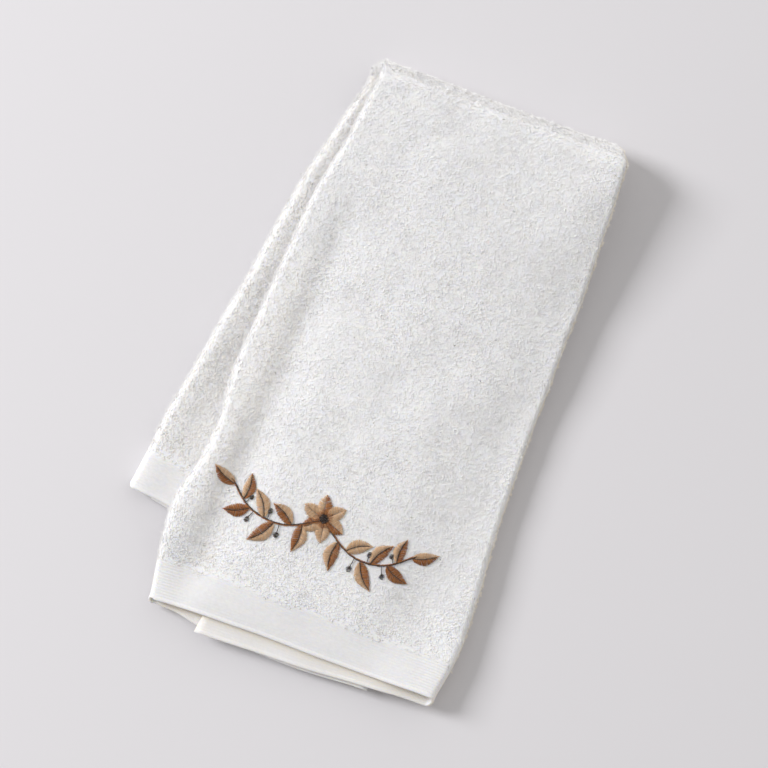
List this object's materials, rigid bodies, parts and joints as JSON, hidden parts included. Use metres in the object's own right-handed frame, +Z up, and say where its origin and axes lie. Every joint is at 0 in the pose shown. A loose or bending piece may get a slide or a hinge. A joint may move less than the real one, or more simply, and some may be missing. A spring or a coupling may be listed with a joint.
{
  "type": "hand towel",
  "caption": "White terry hand towel, folded lengthwise in thirds and once across, lying flat with its hems a little askew.",
  "frame": {"origin": "middle of the folded towel's outline, on the surface it rests on", "axes": "+Z up; +Y towards the crosswise fold, with the hems towards -Y; +X towards the right-hand long edge of the front panel"},
  "size_m": [0.2325, 0.3808, 0.0303],
  "materials": {
    "terry": "matte looped pile",
    "thread": "satin embroidery thread"
  },
  "bodies": {
    "root": {"towel": "terry"}
  },
  "joints": []
}
